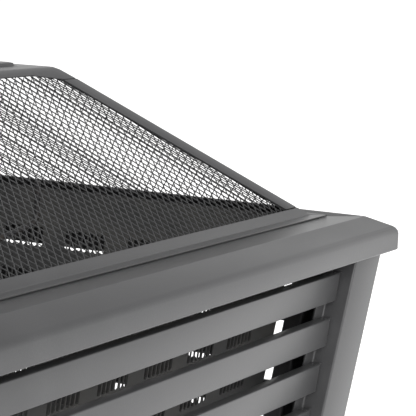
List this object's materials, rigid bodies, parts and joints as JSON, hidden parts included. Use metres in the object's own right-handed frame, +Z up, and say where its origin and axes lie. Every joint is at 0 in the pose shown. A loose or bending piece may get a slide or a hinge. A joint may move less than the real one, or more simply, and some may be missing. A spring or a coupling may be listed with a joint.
{
  "type": "fire pit with grate",
  "caption": "Square slatted steel fire pit that tapers to its feet, with a bevelled rim, vented firebox, lift-off mesh spark screen and a raised log grate.",
  "frame": {"origin": "on the ground, at the centre of the square pit", "axes": "+Z up; the sides face -Y (front), +X (right), +Y (back) and -X (left)"},
  "size_m": [0.76, 0.76, 0.5697],
  "materials": {
    "powder_coat": "satin graphite grey powder coat on folded sheet steel",
    "stove_paint": "matt black heat-resistant stove paint",
    "mesh_paint": "matt black heat-resistant paint on expanded steel mesh",
    "grate_steel": "black painted round steel bar"
  },
  "bodies": {
    "pit": {"rim_rail_front": "powder_coat", "rim_rail_right": "powder_coat", "rim_rail_back": "powder_coat", "rim_rail_left": "powder_coat", "leg_front_right": "powder_coat", "leg_back_right": "powder_coat", "leg_back_left": "powder_coat", "leg_front_left": "powder_coat", "slat_front_1": "powder_coat", "slat_front_2": "powder_coat", "slat_front_3": "powder_coat", "slat_front_4": "powder_coat", "slat_front_5": "powder_coat", "slat_front_6": "powder_coat", "slat_right_1": "powder_coat", "slat_right_2": "powder_coat", "slat_right_3": "powder_coat", "slat_right_4": "powder_coat", "slat_right_5": "powder_coat", "slat_right_6": "powder_coat", "slat_back_1": "powder_coat", "slat_back_2": "powder_coat", "slat_back_3": "powder_coat", "slat_back_4": "powder_coat", "slat_back_5": "powder_coat", "slat_back_6": "powder_coat", "slat_left_1": "powder_coat", "slat_left_2": "powder_coat", "slat_left_3": "powder_coat", "slat_left_4": "powder_coat", "slat_left_5": "powder_coat", "slat_left_6": "powder_coat", "firebox_wall_front": "stove_paint", "firebox_wall_right": "stove_paint", "firebox_wall_back": "stove_paint", "firebox_wall_left": "stove_paint", "firebox_floor": "stove_paint"},
    "screen": {"screen_rail_front": "powder_coat", "screen_rail_right": "powder_coat", "screen_rail_back": "powder_coat", "screen_rail_left": "powder_coat", "screen_hip_front_right": "powder_coat", "screen_hip_back_right": "powder_coat", "screen_hip_back_left": "powder_coat", "screen_hip_front_left": "powder_coat", "screen_mesh_front": "mesh_paint", "screen_mesh_right": "mesh_paint", "screen_mesh_back": "mesh_paint", "screen_mesh_left": "mesh_paint", "screen_cap": "powder_coat", "screen_handle": "powder_coat"},
    "grate": {"grate_bar_1": "grate_steel", "grate_bar_2": "grate_steel", "grate_bar_3": "grate_steel", "grate_bar_4": "grate_steel", "grate_bar_5": "grate_steel", "grate_leg_left": "grate_steel", "grate_leg_right": "grate_steel"}
  },
  "joints": [
    {"name": "screen_lift", "type": "slide", "parent": "pit", "child": "screen", "axis": [0, 0, 1], "range_m": [0, 0.3]},
    {"name": "grate_lift", "type": "slide", "parent": "pit", "child": "grate", "axis": [0, 0, 1], "range_m": [0, 0.07]}
  ]
}
